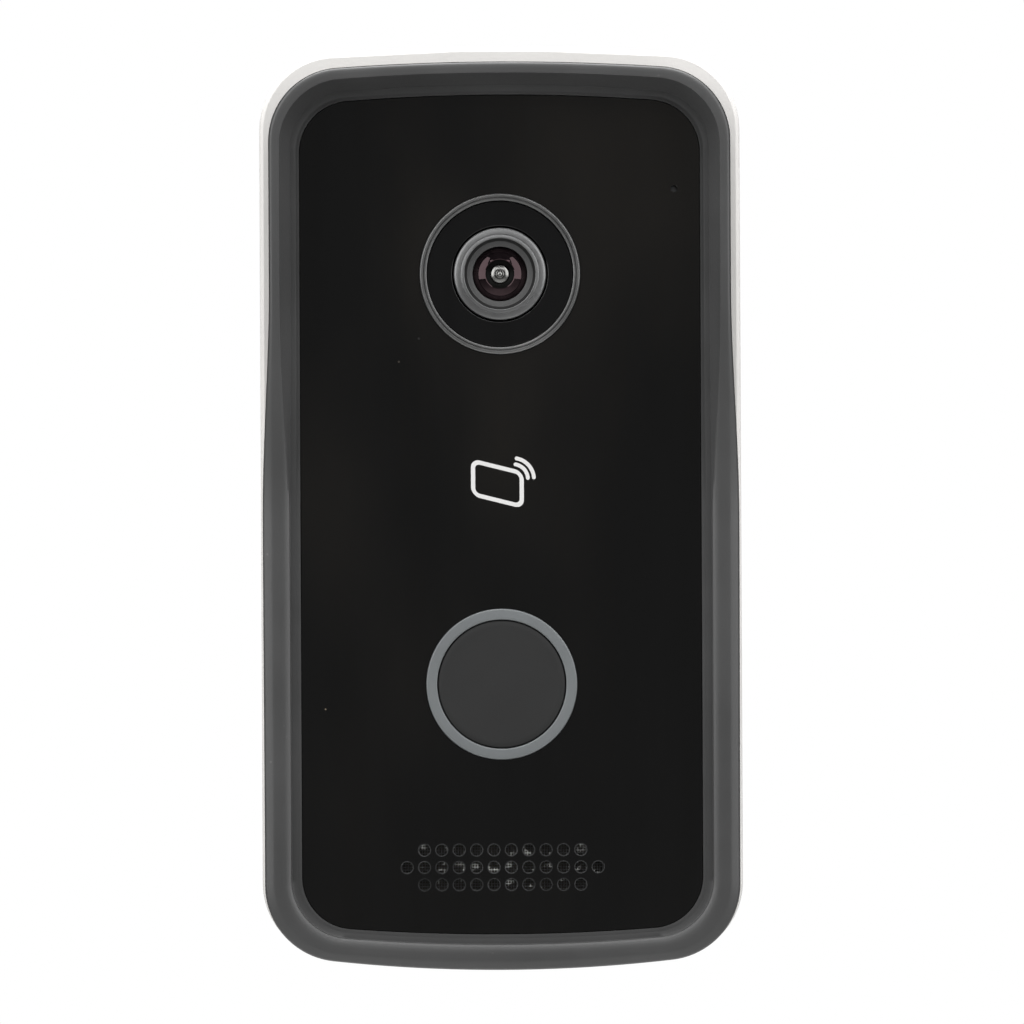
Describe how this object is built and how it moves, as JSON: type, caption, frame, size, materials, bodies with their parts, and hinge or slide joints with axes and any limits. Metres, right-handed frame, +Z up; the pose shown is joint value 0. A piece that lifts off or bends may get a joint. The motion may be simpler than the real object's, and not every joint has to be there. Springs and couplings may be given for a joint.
{
  "type": "video doorbell",
  "caption": "Slim wall-hung video door station with hooded dark frame, black glass front, lens, card reader mark, round call button and speaker grille on a pale rear housing.",
  "frame": {"origin": "centre of the wall bracket's back face, on the wall plane, midway between the top and foot of the front frame", "axes": "+Z up the wall, -Y out of the wall towards the caller (the glass faces -Y), +X to the caller's right"},
  "size_m": [0.0698, 0.0315, 0.1337],
  "materials": {
    "zinc_plate": "zinc plated sheet steel, satin",
    "pale_plastic": "fine textured warm light grey plastic",
    "dark_plastic": "satin dark grey plastic",
    "dark_rubber": "soft black foam and rubber",
    "black_plastic": "moulded black plastic",
    "black_glass": "polished black-backed glass",
    "white_ink": "screen-printed white ink",
    "grey_trim": "dark grey satin metal ring",
    "black_window": "polished infrared black window",
    "lens_metal": "black anodised lens barrel",
    "coated_glass": "coated lens glass",
    "filter_glass": "coated filter glass",
    "copper": "enamelled copper",
    "sensor_silicon": "sensor chip",
    "circuit_board": "green solder mask",
    "screw_steel": "bright machined steel",
    "led_resin": "clear resin",
    "button_plastic": "fine matt dark plastic",
    "light_ring": "frosted grey light guide",
    "white_plastic": "white acetal",
    "speaker_cloth": "woven dust mesh",
    "speaker_paper": "pressed membrane",
    "magnet_steel": "plated magnet cup",
    "chip_resin": "epoxy package",
    "shield_steel": "tin plated shield",
    "flex_film": "polyimide film",
    "relay_plastic": "blue relay case",
    "capacitor_can": "sleeved aluminium can",
    "gold_plate": "gold plated contact",
    "green_plastic": "green terminal housing",
    "label_paper": "blank rating label"
  },
  "bodies": {
    "bracket": {"wall_bracket": "zinc_plate"},
    "unit": {"rear_housing": "pale_plastic", "housing_gasket": "dark_rubber", "front_frame": "dark_plastic", "panel_carrier": "black_plastic", "panel_tape": "dark_rubber", "front_glass": "black_glass", "reader_icon": "white_ink", "camera_trim_ring": "grey_trim", "camera_window": "black_window", "lens_barrel": "lens_metal", "lens_front_element": "coated_glass", "lens_inner_elements": "coated_glass", "lens_holder": "black_plastic", "filter_coil": "copper", "image_sensor": "sensor_silicon", "camera_board": "circuit_board", "camera_screws": "screw_steel", "infrared_board": "circuit_board", "infrared_leds": "led_resin", "call_light_ring": "light_ring", "call_switch": "black_plastic", "ring_leds": "led_resin", "speaker_mesh": "speaker_cloth", "speaker_gasket": "dark_rubber", "speaker_frame": "black_plastic", "speaker_cone": "speaker_paper", "speaker_voice_coil": "copper", "speaker_magnet": "magnet_steel", "microphone": "screw_steel", "microphone_boot": "dark_rubber", "reader_board": "circuit_board", "reader_coil": "copper", "main_board": "circuit_board", "board_screws": "screw_steel", "processor": "chip_resin", "shield_can": "shield_steel", "wifi_module": "circuit_board", "wifi_antenna": "flex_film", "door_relay": "relay_plastic", "capacitors": "capacitor_can", "network_jack": "black_plastic", "jack_contacts": "gold_plate", "terminal_block": "green_plastic", "terminal_screws": "screw_steel", "reset_switch": "black_plastic", "tamper_switch": "black_plastic", "camera_ribbon": "flex_film", "bay_seal": "dark_rubber", "housing_screws": "screw_steel", "rating_label": "label_paper"},
    "button": {"call_button": "button_plastic", "call_switch_stem": "white_plastic"},
    "slider": {"filter_slider": "black_plastic", "filter_glasses": "filter_glass"},
    "reset": {"reset_stem": "white_plastic"},
    "tamper": {"tamper_plunger": "white_plastic"},
    "lock": {"lock_screw": "screw_steel"}
  },
  "joints": [
    {"name": "lift_off", "type": "slide", "parent": "bracket", "child": "unit", "axis": [0, 0, 1], "range_m": [0, 0.0046]},
    {"name": "call_press", "type": "slide", "parent": "unit", "child": "button", "axis": [0, 1, 0], "range_m": [0, 0.0004], "stiffness_N_per_m": 4000},
    {"name": "filter_slide", "type": "slide", "parent": "unit", "child": "slider", "axis": [-1, 0, 0], "range_m": [0, 0.0054]},
    {"name": "reset_press", "type": "slide", "parent": "unit", "child": "reset", "axis": [0, -1, 0], "range_m": [0, 0.0004], "stiffness_N_per_m": 3000},
    {"name": "tamper_release", "type": "slide", "parent": "unit", "child": "tamper", "axis": [0, 1, 0], "range_m": [0, 0.002], "stiffness_N_per_m": 400},
    {"name": "lock_screw_out", "type": "slide", "parent": "unit", "child": "lock", "axis": [0, 0, -1], "range_m": [0, 0.0105]}
  ]
}
